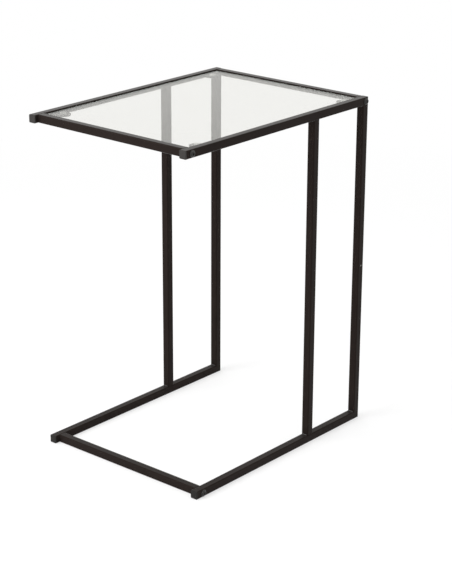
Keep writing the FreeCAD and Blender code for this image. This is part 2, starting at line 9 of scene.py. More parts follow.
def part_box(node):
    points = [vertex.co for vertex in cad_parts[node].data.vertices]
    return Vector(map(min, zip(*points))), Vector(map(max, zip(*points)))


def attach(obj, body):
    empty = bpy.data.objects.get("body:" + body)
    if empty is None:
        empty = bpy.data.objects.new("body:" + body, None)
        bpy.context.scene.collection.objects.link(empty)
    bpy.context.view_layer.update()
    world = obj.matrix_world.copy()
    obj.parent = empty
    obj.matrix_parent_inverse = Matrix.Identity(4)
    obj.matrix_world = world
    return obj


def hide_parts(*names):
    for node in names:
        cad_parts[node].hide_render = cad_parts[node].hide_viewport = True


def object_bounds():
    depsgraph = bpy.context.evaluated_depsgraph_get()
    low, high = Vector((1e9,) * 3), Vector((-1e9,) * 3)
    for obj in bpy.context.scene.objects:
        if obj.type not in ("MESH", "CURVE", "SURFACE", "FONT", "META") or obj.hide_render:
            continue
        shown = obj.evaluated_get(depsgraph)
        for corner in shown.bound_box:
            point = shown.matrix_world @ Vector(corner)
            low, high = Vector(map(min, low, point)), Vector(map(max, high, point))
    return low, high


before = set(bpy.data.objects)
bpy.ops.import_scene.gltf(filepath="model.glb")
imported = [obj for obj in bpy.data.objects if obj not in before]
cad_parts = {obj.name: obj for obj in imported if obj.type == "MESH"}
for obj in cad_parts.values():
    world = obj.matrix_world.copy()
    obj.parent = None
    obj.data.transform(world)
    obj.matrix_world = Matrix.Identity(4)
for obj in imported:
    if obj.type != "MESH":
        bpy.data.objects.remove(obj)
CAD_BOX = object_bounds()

bl_info = {
    "name": "C-Shaped Side Table",
    "version": (1, 0, 0),
    "blender": (4, 5, 0),
    "location": "3D View > Sidebar > Side Table",
    "description": "Dresses the steel and glass C-shaped side table and sets its stage",
    "category": "Object",
}

MM = 0.001
SIDES = {"left": -1, "right": 1}
SIDE_TUBES = ["top_rail", "base_rail", "rear_post", "inner_post"]
SIDE_RAILS = ["left_top", "left_base", "right_top", "right_base"]
CROSS_RAILS = ["front_top", "rear_top", "front_base"]
CORNERS = ["front_left", "front_right", "rear_left", "rear_right"]
TUBES = [side + "_" + tube for side in SIDES for tube in SIDE_TUBES]
TUBES += [rail + "_cross_rail" for rail in CROSS_RAILS]
BOLT_PAIRS = [rail + "_bolts" for rail in CROSS_RAILS]
INSERT_PAIRS = [rail + "_inserts" for rail in CROSS_RAILS]
END_CAPS = [rail + "_end_cap" for rail in SIDE_RAILS]
TABS = [corner + "_glass_tab" for corner in CORNERS]
PADS = [corner + "_glass_pad" for corner in CORNERS]

# points closer together than this are one point
SAME_POINT = 1e-6
# a face looks up or down where at least this share of its normal is along Z
FACING = 0.9
# and it is a polished face of the pane from this share on
FLAT = 0.99
# steps of a weld bead: share of the ripples' pitch, and how much the bead widens over it
BEAD_START = ((0.25, 1.45), (0.25, 1.12))
BEAD_RIPPLE = ((0.22, 1.03), (0.28, 0.93), (0.28, 0.95), (0.22, 1.098))
BEAD_END = ((0.25, 0.9), (0.25, 0.66))
# steps of the rounding of a bolt's dome
DOME_STEPS = 9
# how far each bolt is turned in degrees, left then right at each cross rail
BOLT_TURNS = (8.0, 41.0, 23.0, 52.0, 15.0, 34.0)
# attribute that keeps a bolt's points as they were on the lathe
LATHE_PLACE = "lathe_place"
# colours of the floor, of the background as it is seen, and of the light from all round
FLOOR_WHITE = (0.9, 0.9, 0.9, 1.0)
BACKDROP_WHITE = (1.0, 0.996, 0.968, 1.0)
LIGHT_WHITE = (1.0, 1.0, 1.0, 1.0)


def size_of(node):
    """Size of a frame node along X, Y and Z."""
    low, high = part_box(node)
    return high - low


# ---------------------------------------------------------------- settings


class TableSizes(bpy.types.PropertyGroup):
    """Sizes of the table's small parts."""

    tube_radius: FloatProperty(
        name="Tube Corner Radius", description="Outside corner radius of the square tube",
        default=2.0 * MM, min=0.0, unit="LENGTH", subtype="DISTANCE")
    tube_wall: FloatProperty(
        name="Tube Wall", description="Wall thickness of the square tube",
        default=1.2 * MM, min=0.0, unit="LENGTH", subtype="DISTANCE")
    bead_radius: FloatProperty(
        name="Weld Bead Radius", description="Radius of a weld bead's rounded back",
        default=1.6 * MM, min=0.0, unit="LENGTH", subtype="DISTANCE")
    bead_standoff: FloatProperty(
        name="Weld Bead Standoff",
        description="How far a bead's middle lies out from both tube faces",
        default=0.55 * MM, min=0.0, unit="LENGTH", subtype="DISTANCE")
    bead_ripples: IntProperty(
        name="Weld Ripples", description="Number of ripples along one weld bead",
        default=8, min=2, max=30)
    flange_rim: FloatProperty(
        name="Bolt Flange Rim", description="Height of the straight rim of the bolt head's flange",
        default=0.7 * MM, min=0.0, unit="LENGTH", subtype="DISTANCE")
    flange_rise: FloatProperty(
        name="Bolt Flange Rise",
        description="Height that the flange's sloping top climbs from rim to dome",
        default=0.35 * MM, min=0.0, unit="LENGTH", subtype="DISTANCE")
    dome_width: FloatProperty(
        name="Bolt Dome", description="Diameter of the dome on top of the bolt head's flange",
        default=10.2 * MM, min=0.0, unit="LENGTH", subtype="DISTANCE")
    dome_flat: FloatProperty(
        name="Bolt Dome Flat", description="Diameter of the flat on top of the dome",
        default=5.2 * MM, min=0.0, unit="LENGTH", subtype="DISTANCE")
    hex_key: FloatProperty(
        name="Hex Key", description="Width across flats of the hexagon socket",
        default=4.0 * MM, min=0.0, unit="LENGTH", subtype="DISTANCE")
    socket_depth: FloatProperty(
        name="Socket Depth", description="Depth of the hexagon socket",
        default=2.2 * MM, min=0.0, unit="LENGTH", subtype="DISTANCE")
    bolt_shank: FloatProperty(
        name="Bolt Shank", description="Diameter of the bolt's shank",
        default=6.0 * MM, min=0.0, unit="LENGTH", subtype="DISTANCE")
    vent_height: FloatProperty(
        name="Vent Height",
        description="Height of the vent hole in the outer wall of each rear post",
        default=315.0 * MM, min=0.0, unit="LENGTH", subtype="DISTANCE")
    vent_width: FloatProperty(
        name="Vent Diameter", description="Diameter of the vent hole",
        default=3.5 * MM, min=0.0, unit="LENGTH", subtype="DISTANCE")
    cap_edge: FloatProperty(
        name="Cap Edge Radius", description="Rounding of the end cap's outer edge",
        default=0.9 * MM, min=0.0, unit="LENGTH", subtype="DISTANCE")
    cap_head: FloatProperty(
        name="Cap Head", description="Thickness of the end cap's head outside the tube",
        default=2.2 * MM, min=0.0, unit="LENGTH", subtype="DISTANCE")
    cap_ribs: IntProperty(
        name="Cap Ribs", description="Number of gripping ribs on the plug of an end cap",
        default=2, min=1, max=8)
    pad_edge: FloatProperty(
        name="Pad Edge Radius", description="Rounding of a glass pad's upper edge",
        default=1.1 * MM, min=0.0, unit="LENGTH", subtype="DISTANCE")
    glass_corner: FloatProperty(
        name="Glass Corner Radius", description="Corner radius of the glass pane in plan",
        default=2.5 * MM, min=0.0, unit="LENGTH", subtype="DISTANCE")
    glass_arris: FloatProperty(
        name="Glass Arris", description="Width of the ground bevel along the pane's edges",
        default=0.6 * MM, min=0.0, unit="LENGTH", subtype="DISTANCE")


class TableFinishes(bpy.types.PropertyGroup):
    """Colours and finishes of the table."""

    coat_colour: FloatVectorProperty(
        name="Powder Coat", description="Colour of the satin black powder coat",
        default=(0.0124, 0.0092, 0.0082), size=3, min=0.0, max=1.0, subtype="COLOR")
    coat_tint: FloatVectorProperty(
        name="Powder Coat Warm", description="Warmer tone that the powder coat drifts to",
        default=(0.0164, 0.0120, 0.0104), size=3, min=0.0, max=1.0, subtype="COLOR")
    coat_roughness: FloatProperty(
        name="Powder Coat Roughness", description="Middle roughness of the powder coat",
        default=0.29, min=0.0, max=1.0, subtype="FACTOR")
    coat_specular: FloatProperty(
        name="Powder Coat Specular", description="Strength of the powder coat's surface reflection",
        default=0.032, min=0.0, max=1.0, subtype="FACTOR")
    coat_reflection: FloatVectorProperty(
        name="Powder Coat Reflection",
        description="Tint of the powder coat's reflection seen straight on",
        default=(1.0, 0.75, 0.66), size=3, min=0.0, max=1.0, subtype="COLOR")
    coat_sheen: FloatProperty(
        name="Powder Coat Sheen",
        description="Soft brightening of the powder coat at grazing angles",
        default=0.32, min=0.0, max=1.0, subtype="FACTOR")
    weld_gloss: FloatProperty(
        name="Weld Gloss",
        description="Strength of the reflection where the coat flows over a weld",
        default=0.5, min=0.0, max=1.0, subtype="FACTOR")
    cap_colour: FloatVectorProperty(
        name="Cap Plastic", description="Colour of the moulded caps of the upper rails",
        default=(0.0185, 0.0165, 0.0152), size=3, min=0.0, max=1.0, subtype="COLOR")
    # painted shade: the lower caps are the same plastic as the upper ones, given a darker copy of
    # its colour for the lesser light that reaches them low by the floor
    foot_cap_painted_shade_colour: FloatVectorProperty(
        name="Foot Cap Painted Shade", description="Colour of the moulded caps of the lower rails",
        default=(0.0075, 0.0062, 0.0052), size=3, min=0.0, max=1.0, subtype="COLOR")
    bolt_colour: FloatVectorProperty(
        name="Bolt Black", description="Colour of the blackened bolt heads",
        default=(0.010, 0.0092, 0.0085), size=3, min=0.0, max=1.0, subtype="COLOR")
    bolt_gloss: FloatProperty(
        name="Bolt Gloss", description="Strength of the oiled black oxide's reflection",
        default=0.35, min=0.0, max=1.0, subtype="FACTOR")
    zinc_colour: FloatVectorProperty(
        name="Zinc", description="Colour of the zinc plated inserts",
        default=(0.60, 0.61, 0.60), size=3, min=0.0, max=1.0, subtype="COLOR")
    rim_colour: FloatVectorProperty(
        name="Vent Rim", description="Colour of the bare steel rim of a vent hole",
        default=(0.34, 0.33, 0.31), size=3, min=0.0, max=1.0, subtype="COLOR")
    glass_colour: FloatVectorProperty(
        name="Glass", description="Tint of light that passes through the pane",
        default=(0.845, 0.845, 0.825), size=3, min=0.0, max=1.0, subtype="COLOR")
    edge_colour: FloatVectorProperty(
        name="Glass Edge", description="Tint of the pane's ground edges",
        default=(0.16, 0.22, 0.18), size=3, min=0.0, max=1.0, subtype="COLOR")
    pad_colour: FloatVectorProperty(
        name="Pad", description="Tint of the clear glass pads",
        default=(0.88, 0.90, 0.87), size=3, min=0.0, max=1.0, subtype="COLOR")


class StudioSettings(bpy.types.PropertyGroup):
    """Camera and light of the stage."""

    camera_azimuth: FloatProperty(
        name="Camera Azimuth", description="Camera direction round the table from its front",
        default=radians(40.606), subtype="ANGLE")
    camera_elevation: FloatProperty(
        name="Camera Elevation", description="Camera direction above the horizon",
        default=radians(20.066), subtype="ANGLE")
    camera_roll: FloatProperty(
        name="Camera Roll", description="Turn of the camera about its own axis",
        default=radians(0.222), subtype="ANGLE")
    camera_distance: FloatProperty(
        name="Camera Distance", description="Distance of the camera from the middle of the table",
        default=3.2146, min=0.1, unit="LENGTH", subtype="DISTANCE")
    camera_lens: FloatProperty(
        name="Focal Length", description="Focal length of the camera's lens in millimetres",
        default=106.87, min=10.0)
    aim_across: FloatProperty(
        name="Aim Across", description="How far to the right of the table's middle the camera aims",
        default=0.0437, unit="LENGTH", subtype="DISTANCE")
    aim_below: FloatProperty(
        name="Aim Below", description="How far below the table's middle the camera aims",
        default=0.0341, unit="LENGTH", subtype="DISTANCE")
    dome_light: FloatProperty(
        name="Dome Light", description="Strength of the soft light from all round",
        default=0.85, min=0.0)
    overhead_light: FloatProperty(
        name="Overhead Light", description="Power of the large overhead lamp",
        default=26.0, min=0.0, unit="POWER")
    front_light: FloatProperty(
        name="Front Light", description="Power of the soft lamp in front of the table",
        default=31.0, min=0.0, unit="POWER")
    floor_clear: FloatProperty(
        name="Floor Clearness", description="How much of the floor's shadow is lifted to white",
        default=0.5, min=0.0, max=1.0, subtype="FACTOR")


# ---------------------------------------------------------------- modelling


def deselect_all():
    """Leave edit mode and deselect every object."""
    if bpy.context.object is not None and bpy.context.object.mode != "OBJECT":
        bpy.ops.object.mode_set(mode="OBJECT")
    bpy.ops.object.select_all(action="DESELECT")


def activate(*pieces):
    """Select only these pieces, the first one active."""
    deselect_all()
    for piece in pieces:
        piece.select_set(True)
    bpy.context.view_layer.objects.active = pieces[0]


def edit(piece, mode="FACE"):
    """Open the piece in edit mode with nothing selected."""
    activate(piece)
    bpy.ops.object.mode_set(mode="EDIT")
    bpy.ops.mesh.select_mode(type=mode)
    bpy.ops.mesh.select_all(action="DESELECT")


def looks_up(normal):
    """True for the normal of a face that looks up."""
    return normal.z > FACING


def looks_down(normal):
    """True for the normal of a face that looks down."""
    return normal.z < -FACING


def pick_faces(piece, wanted):
    """In edit mode, select the faces for which wanted(normal) is true."""
    mesh = bmesh.from_edit_mesh(piece.data)
    for face in mesh.faces:
        face.select_set(False)
    for face in mesh.faces:
        if wanted(face.normal):
            face.select_set(True)
    mesh.select_flush_mode()
    bmesh.update_edit_mesh(piece.data)


def pick_edges(piece, wanted):
    """In edit mode, select the edges for which wanted(first end, second end) is true."""
    mesh = bmesh.from_edit_mesh(piece.data)
    for edge in mesh.edges:
        edge.select_set(False)
    for edge in mesh.edges:
        if wanted(edge.verts[0].co, edge.verts[1].co):
            edge.select_set(True)
    mesh.select_flush_mode()
    bmesh.update_edit_mesh(piece.data)


def step_out(move, scale=1.0):
    """In edit mode, extrude the selected face by move along Z and scale it about the Z axis."""
    bpy.ops.mesh.extrude_region_move(TRANSFORM_OT_translate={"value": (0.0, 0.0, move)})
    bpy.ops.transform.resize(value=(scale, scale, 1.0), center_override=(0.0, 0.0, 0.0))


def face_outwards(piece):
    """Merge doubled points and turn every face outwards."""
    edit(piece)
    bpy.ops.mesh.select_all(action="SELECT")
    bpy.ops.mesh.remove_doubles(threshold=SAME_POINT)
    bpy.ops.mesh.normals_make_consistent(inside=False)
    bpy.ops.object.mode_set(mode="OBJECT")


def apply_modifier(piece, kind, **settings):
    """Add one modifier with these settings and apply it."""
    activate(piece)
    modifier = piece.modifiers.new(kind.title(), kind)
    for setting, value in settings.items():
        setattr(modifier, setting, value)
    bpy.ops.object.modifier_apply(modifier=modifier.name)


def cut_away(piece, tool):
    """Cut the tool's shape out of the piece and remove the tool."""
    apply_modifier(piece, "BOOLEAN", object=tool, operation="DIFFERENCE", solver="EXACT")
    bpy.data.objects.remove(tool)


def soften(piece, width, angle):
    """Round the edges of the piece that are sharper than an angle in degrees."""
    apply_modifier(piece, "BEVEL", width=width, segments=2, limit_method="ANGLE",
                   angle_limit=radians(angle), harden_normals=False)


def smooth(piece, angle):
    """Shade the piece smooth apart from edges sharper than an angle in degrees."""
    activate(piece)
    bpy.ops.object.shade_smooth_by_angle(angle=radians(angle))


def settle(piece):
    """Move the piece's place into its mesh."""
    activate(piece)
    bpy.ops.object.transform_apply(location=True, rotation=True, scale=True)


def copy_of(piece, name, place):
    """A copy of the piece with its own mesh, put in place by a matrix."""
    copy = piece.copy()
    copy.data = piece.data.copy()
    copy.name = name
    bpy.context.collection.objects.link(copy)
    copy.matrix_world = place
    settle(copy)
    return copy


def joined(pieces, name):
    """Join the pieces into one object."""
    activate(*pieces)
    bpy.ops.object.join()
    pieces[0].name = name
    pieces[0].data.name = name
    return pieces[0]


def finished(piece, name, material, body, slot, *nodes):
    """Name, paint and fasten a piece, in place of the frame nodes that are named."""
    piece.name = name
    piece.data.name = name
    piece.data.materials.clear()
    piece.data.materials.append(material)
    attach(piece, body)
    if nodes:
        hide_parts(*nodes)
    deselect_all()


def remember_place(piece):
    """Store each point's place on the lathe, for the turning rings that follow it."""
    stored = piece.data.attributes.new(LATHE_PLACE, "FLOAT_VECTOR", "POINT")
    places = [number for point in piece.data.vertices for number in point.co]
    stored.data.foreach_set("vector", places)


# ---------------------------------------------------------------- materials


def new_material(name):
    """A node material with only its surface shader and output."""
    material = bpy.data.materials.new(name)
    material.use_nodes = True
    tree = material.node_tree
    return material, tree, tree.nodes["Principled BSDF"]


def add_node(tree, kind, **sockets):
    """Add a node and set the sockets named by keyword."""
    node = tree.nodes.new(kind)
    for socket, value in sockets.items():
        node.inputs[socket.replace("_", " ")].default_value = value
    return node


def object_place(tree, stretch=(1.0, 1.0, 1.0)):
    """Object coordinates, stretched along the axes."""
    source = tree.nodes.new("ShaderNodeTexCoord")
    mapping = tree.nodes.new("ShaderNodeMapping")
    mapping.inputs["Scale"].default_value = stretch
    tree.links.new(source.outputs["Object"], mapping.inputs["Vector"])
    return mapping.outputs["Vector"]


def noise(tree, place, scale, detail, roughness):
    """Noise value at a scale given in waves to the metre."""
    node = add_node(tree, "ShaderNodeTexNoise", Scale=scale, Detail=detail, Roughness=roughness)
    tree.links.new(place, node.inputs["Vector"])
    return node.outputs["Fac"]


def spread(tree, value, low, high, start=0.0, end=1.0):
    """Map a value from start and end to low and high."""
    node = add_node(
        tree, "ShaderNodeMapRange", From_Min=start, From_Max=end, To_Min=low, To_Max=high)
    tree.links.new(value, node.inputs["Value"])
    return node.outputs["Result"]


def shade_of(colour, share):
    """The colour made darker or lighter by a share."""
    return tuple(min(1.0, part * share) for part in colour)


def blend_colours(tree, value, first, second):
    """Mix two colours by a value."""
    node = tree.nodes.new("ShaderNodeMix")
    node.data_type = "RGBA"
    colour_inputs = [socket for socket in node.inputs if socket.type == "RGBA"]
    colour_inputs[0].default_value = (*first, 1.0)
    colour_inputs[1].default_value = (*second, 1.0)
    tree.links.new(value, node.inputs["Factor"])
    return next(socket for socket in node.outputs if socket.type == "RGBA")


def sum_of(tree, first, second, weight):
    """First value plus the second one times a weight."""
    node = tree.nodes.new("ShaderNodeMath")
    node.operation = "MULTIPLY_ADD"
    node.inputs[1].default_value = weight
    tree.links.new(second, node.inputs[0])
    tree.links.new(first, node.inputs[2])
    return node.outputs["Value"]


def bump(tree, shader, height, strength, distance):
    """Raise the shader's surface by a height value."""
    node = add_node(tree, "ShaderNodeBump", Strength=strength, Distance=distance)
    tree.links.new(height, node.inputs["Height"])
    tree.links.new(node.outputs["Normal"], shader.inputs["Normal"])


def powder_coat(finishes):
    """Satin black powder coat: fine orange peel, soft cloudy drift in tone and gloss."""
    material, tree, shader = new_material("satin_black_powder_coat")
    place = object_place(tree)
    peel = noise(tree, place, scale=950.0, detail=2.0, roughness=0.45)
    grit = noise(tree, place, scale=3600.0, detail=1.0, roughness=0.5)
    cloud = noise(tree, place, scale=14.0, detail=3.0, roughness=0.6)
    tone = sum_of(tree, cloud, grit, weight=0.35)
    drift = spread(tree, tone, low=0.0, high=1.0, start=0.35, end=1.0)
    colour = blend_colours(tree, drift, finishes.coat_colour, finishes.coat_tint)
    tree.links.new(colour, shader.inputs["Base Color"])
    gloss = sum_of(tree, cloud, peel, weight=0.4)
    smoothest = finishes.coat_roughness - 0.05
    roughest = finishes.coat_roughness + 0.06
    roughness = spread(tree, gloss, low=smoothest, high=roughest, start=0.4, end=1.0)
    tree.links.new(roughness, shader.inputs["Roughness"])
    shader.inputs["Specular IOR Level"].default_value = finishes.coat_specular
    shader.inputs["Specular Tint"].default_value = (*finishes.coat_reflection, 1.0)
    shader.inputs["Sheen Weight"].default_value = finishes.coat_sheen
    shader.inputs["Sheen Roughness"].default_value = 0.3
    relief = sum_of(tree, peel, grit, weight=0.25)
    bump(tree, shader, relief, strength=0.35, distance=0.08 * MM)
    return material


def weld_coat(finishes):
    """The same powder coat where it flows smoother over the weld beads."""
    material, tree, shader = new_material("powder_coat_on_welds")
    place = object_place(tree)
    peel = noise(tree, place, scale=1300.0, detail=2.0, roughness=0.5)
    cloud = noise(tree, place, scale=300.0, detail=2.0, roughness=0.5)
    colour = blend_colours(tree, cloud, finishes.coat_colour, finishes.coat_tint)
    tree.links.new(colour, shader.inputs["Base Color"])
    tree.links.new(spread(tree, peel, low=0.16, high=0.30), shader.inputs["Roughness"])
    shader.inputs["Specular IOR Level"].default_value = finishes.weld_gloss
    bump(tree, shader, peel, strength=0.3, distance=0.08 * MM)
    return material


def blackened_steel(finishes):
    """Black oxide on turned steel: fine turning rings, and patches where the black is thinner."""
    material, tree, shader = new_material("black_oxide_steel")
    stored = tree.nodes.new("ShaderNodeAttribute")
    stored.attribute_name = LATHE_PLACE
    rings = add_node(tree, "ShaderNodeTexWave", Scale=900.0, Distortion=0.6, Detail=2.0)
    rings.wave_type = "RINGS"
    rings.rings_direction = "Z"
    tree.links.new(stored.outputs["Vector"], rings.inputs["Vector"])
    patches = noise(tree, stored.outputs["Vector"], scale=420.0, detail=3.0, roughness=0.6)
    thin = shade_of(finishes.bolt_colour, 2.4)
    thinness = spread(tree, patches, low=0.0, high=1.0, start=0.45, end=0.8)
    colour = blend_colours(tree, thinness, finishes.bolt_colour, thin)
    tree.links.new(colour, shader.inputs["Base Color"])
    roughness = spread(tree, patches, low=0.16, high=0.28, start=0.3, end=0.7)
    tree.links.new(roughness, shader.inputs["Roughness"])
    shader.inputs["Specular IOR Level"].default_value = finishes.bolt_gloss
    bump(tree, shader, rings.outputs["Fac"], strength=0.25, distance=0.02 * MM)
    return material


def bare_steel(name, bright):
    """Steel without paint: faint crystal patches and drawn lines across the table."""
    material, tree, shader = new_material(name)
    place = object_place(tree)
    crystals = add_node(tree, "ShaderNodeTexVoronoi", Scale=520.0)
    tree.links.new(place, crystals.inputs["Vector"])
    across = object_place(tree, stretch=(0.06, 1.0, 1.0))
    drawn = noise(tree, across, scale=2600.0, detail=2.0, roughness=0.5)
    colour = blend_colours(tree, crystals.outputs["Distance"], bright, shade_of(bright, 0.78))
    tree.links.new(colour, shader.inputs["Base Color"])
    shader.inputs["Metallic"].default_value = 1.0
    tree.links.new(spread(tree, drawn, low=0.26, high=0.46), shader.inputs["Roughness"])
    bump(tree, shader, drawn, strength=0.2, distance=0.02 * MM)
    return material


def cap_plastic(name, black):
    """Moulded black polyethylene with a fine matt grain."""
    material, tree, shader = new_material(name)
    place = object_place(tree)
    grain = add_node(tree, "ShaderNodeTexVoronoi", Scale=2600.0)
    tree.links.new(place, grain.inputs["Vector"])
    flow = noise(tree, place, scale=160.0, detail=3.0, roughness=0.55)
    colour = blend_colours(tree, flow, black, shade_of(black, 1.35))
    tree.links.new(colour, shader.inputs["Base Color"])
    tree.links.new(spread(tree, flow, low=0.48, high=0.62), shader.inputs["Roughness"])
    shader.inputs["Specular IOR Level"].default_value = 0.22
    bump(tree, shader, grain.outputs["Distance"], strength=0.25, distance=0.05 * MM)
    return material


def clear_plastic(finishes):
    """Clear soft polyurethane, milky where it is thick and slightly hazy on its skin."""
    material, tree, shader = new_material("clear_soft_plastic")
    haze = noise(tree, object_place(tree), scale=500.0, detail=2.0, roughness=0.5)
    colour = blend_colours(tree, haze, finishes.pad_colour, shade_of(finishes.pad_colour, 0.94))
    tree.links.new(colour, shader.inputs["Base Color"])
    tree.links.new(spread(tree, haze, low=0.22, high=0.36), shader.inputs["Roughness"])
    shader.inputs["Transmission Weight"].default_value = 0.35
    shader.inputs["IOR"].default_value = 1.48
    return material


def pane_glass(finishes):
    """Clear float glass: a very slight wave in its face and a faint drift in its tint."""
    material, tree, shader = new_material("clear_float_glass")
    along = object_place(tree, stretch=(1.0, 0.3, 1.0))
    drift = noise(tree, along, scale=9.0, detail=4.0, roughness=0.6)
    wave = noise(tree, object_place(tree), scale=7.0, detail=1.0, roughness=0.5)
    dimmer = shade_of(finishes.glass_colour, 0.985)
    colour = blend_colours(tree, drift, finishes.glass_colour, dimmer)
    tree.links.new(colour, shader.inputs["Base Color"])
    shader.inputs["Roughness"].default_value = 0.0
    shader.inputs["Transmission Weight"].default_value = 1.0
    shader.inputs["IOR"].default_value = 1.5
    bump(tree, shader, wave, strength=0.05, distance=0.4 * MM)
    return material


def ground_edge(finishes):
    """Matt ground edge of the pane, with fine lines along it."""
    material, tree, shader = new_material("ground_glass_edge")
    along = object_place(tree, stretch=(0.15, 0.15, 1.0))
    lines = noise(tree, along, scale=2200.0, detail=2.0, roughness=0.5)
    darker = shade_of(finishes.edge_colour, 0.85)
    colour = blend_colours(tree, lines, finishes.edge_colour, darker)
    tree.links.new(colour, shader.inputs["Base Color"])
    tree.links.new(spread(tree, lines, low=0.45, high=0.6), shader.inputs["Roughness"])
    shader.inputs["Transmission Weight"].default_value = 0.6
    shader.inputs["IOR"].default_value = 1.5
    bump(tree, shader, lines, strength=0.05, distance=0.02 * MM)
    return material


# ---------------------------------------------------------------- pieces


def paint_nodes(names, material):
    """Give frame nodes a finish and leave their shapes alone."""
    for name in names:
        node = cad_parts[name]
        node.data.materials.clear()
        node.data.materials.append(material)


class SIDETABLE_OT_tube_frame(bpy.types.Operator):
    """Powder coat the tubes and the glass tabs"""

    bl_idname = "sidetable.tube_frame"
    bl_label = "Tube Frame"

    def execute(self, context):
        coat = powder_coat(context.scene.table_finishes)
        paint_nodes(TUBES + TABS, coat)
        return {"FINISHED"}


class SIDETABLE_OT_weld_beads(bpy.types.Operator):
    """Lay the rippled weld beads where the posts meet the side rails"""

    bl_idname = "sidetable.weld_beads"
    bl_label = "Weld Beads"

    def model_bead(self, sizes, length):
        """One bead along Z from 0 to length, thick in the ripples and tapered at both ends."""
        pitch = length / (sizes.bead_ripples + 1)
        tip = sizes.bead_radius * 0.6
        bpy.ops.mesh.primitive_circle_add(vertices=16, radius=tip, fill_type="NGON")
        bead = bpy.context.object
        edit(bead)
        bpy.ops.mesh.select_all(action="SELECT")
        for share, widening in (*BEAD_START, *BEAD_RIPPLE * sizes.bead_ripples, *BEAD_END):
            step_out(pitch * share, widening)
        bpy.ops.object.mode_set(mode="OBJECT")
        face_outwards(bead)
        smooth(bead, angle=60.0)
        return bead

    def execute(self, context):
        sizes = context.scene.table_sizes
        coat = weld_coat(context.scene.table_finishes)
        out = sizes.bead_standoff
        deselect_all()
        bead = self.model_bead(sizes, size_of("left_frame_welds").x)
        for side in SIDES:
            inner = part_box(side + "_inner_post")
            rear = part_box(side + "_rear_post")
            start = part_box(side + "_frame_welds")[0].x
            beads = []
            for height, up in ((inner[0].z, 1), (inner[1].z, -1)):
                for face, way in ((inner[0].y, -1), (inner[1].y, 1), (rear[0].y, -1)):
                    place = Matrix.Translation((start, face + way * out, height + up * out))
                    place = place @ Matrix.Rotation(pi / 2, 4, "Y")
                    beads.append(copy_of(bead, "bead", place))
            name = side + "_weld_beads"
            finished(joined(beads, name), name, coat, "frame", "frame_paint", side + "_frame_welds")
        bpy.data.objects.remove(bead)
        return {"FINISHED"}


class SIDETABLE_OT_button_bolts(bpy.types.Operator):
    """Model the button head bolts with their hexagon sockets"""

    bl_idname = "sidetable.button_bolts"
    bl_label = "Button Bolts"

    def model_bolt(self, sizes, head, radius, length):
        """One bolt along Z: the underside of its head at 0, the head above and the shank below."""
        bolt = self.model_head(sizes, head, radius)
        pick_faces(bolt, looks_down)
        shank = sizes.bolt_shank / 2
        point, point_taper = shank * 0.27, 0.75
        bpy.ops.mesh.inset(thickness=radius - shank)
        step_out(point - length)
        step_out(-point, point_taper)
        bpy.ops.object.mode_set(mode="OBJECT")
        face_outwards(bolt)
        self.cut_socket(sizes, bolt, head)
        edge = 0.14 * MM
        soften(bolt, edge, angle=38.0)
        smooth(bolt, angle=30.0)
        remember_place(bolt)
        return bolt

    def model_head(self, sizes, head, radius):
        """The flange and the dome on it, left open in edit mode."""
        rim = sizes.flange_rim
        flat = sizes.dome_flat / 2
        dome = sizes.dome_width / 2
        bpy.ops.mesh.primitive_cylinder_add(
            vertices=64, radius=radius, depth=rim, location=(0.0, 0.0, rim / 2))
        bolt = bpy.context.object
        settle(bolt)
        edit(bolt)
        pick_faces(bolt, looks_up)
        # broken edge of the flange's rim, and the hollow where the dome meets the flange
        edge_in, edge_up = 0.15 * MM, 0.12 * MM
        hollow_out, hollow_up = 0.15 * MM, 0.1 * MM
        slope_end = rim + sizes.flange_rise
        dome_foot = slope_end + hollow_up
        profile = [
            (radius - edge_in, rim + edge_up),
            (dome + hollow_out, slope_end),
            (dome, dome_foot),
        ]
        for step in range(1, DOME_STEPS + 1):
            angle = pi / 2 * step / DOME_STEPS
            profile.append((flat + (dome - flat) * cos(angle),
                            dome_foot + (head - dome_foot) * sin(angle)))
        before, height = radius, rim
        for after, level in profile:
            step_out(level - height, after / before)
            before, height = after, level
        return bolt

    def cut_socket(self, sizes, bolt, head):
        """Countersink the dome and cut the hexagon socket, with a drill point at its bottom."""
        narrow, wide = sizes.hex_key * 0.42, sizes.dome_flat / 2 * 1.12
        sink, sink_middle = 1.6 * MM, 0.5 * MM
        bpy.ops.mesh.primitive_cone_add(
            vertices=48, radius1=narrow, radius2=wide, depth=sink,
            location=(0.0, 0.0, head - sink_middle))
        entry = bpy.context.object
        settle(entry)
        cut_away(bolt, entry)
        deselect_all()
        corner = sizes.hex_key / 2 / cos(pi / 6)
        drill_point, drill_taper = 0.7 * MM, 0.12
        bpy.ops.mesh.primitive_cylinder_add(
            vertices=6, radius=corner, depth=sizes.socket_depth * 2, location=(0.0, 0.0, head))
        key = bpy.context.object
        settle(key)
        edit(key)
        pick_faces(key, looks_down)
        step_out(-drill_point, drill_taper)
        bpy.ops.object.mode_set(mode="OBJECT")
        face_outwards(key)
        cut_away(bolt, key)

    def execute(self, context):
        sizes = context.scene.table_sizes
        steel = blackened_steel(context.scene.table_finishes)
        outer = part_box("right_top_rail")[1].x
        low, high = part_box(BOLT_PAIRS[0])
        head = high.x - outer
        radius = (high.z - low.z) / 2
        inner = min(abs(point.co.x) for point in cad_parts[BOLT_PAIRS[0]].data.vertices)
        deselect_all()
        bolt = self.model_bolt(sizes, head, radius, outer - inner)
        turns = iter(BOLT_TURNS)
        for pair in BOLT_PAIRS:
            low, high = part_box(pair)
            bolts = []
            for way in SIDES.values():
                middle = (low + high) / 2
                place = Matrix.Translation((way * outer, middle.y, middle.z))
                place = place @ Matrix.Rotation(way * pi / 2, 4, "Y")
                place = place @ Matrix.Rotation(radians(next(turns)), 4, "Z")
                bolts.append(copy_of(bolt, "bolt", place))
            name = pair.replace("_bolts", "_button_bolts")
            finished(joined(bolts, name), name, steel, "frame", "black_bolt", pair)
        bpy.data.objects.remove(bolt)
        return {"FINISHED"}


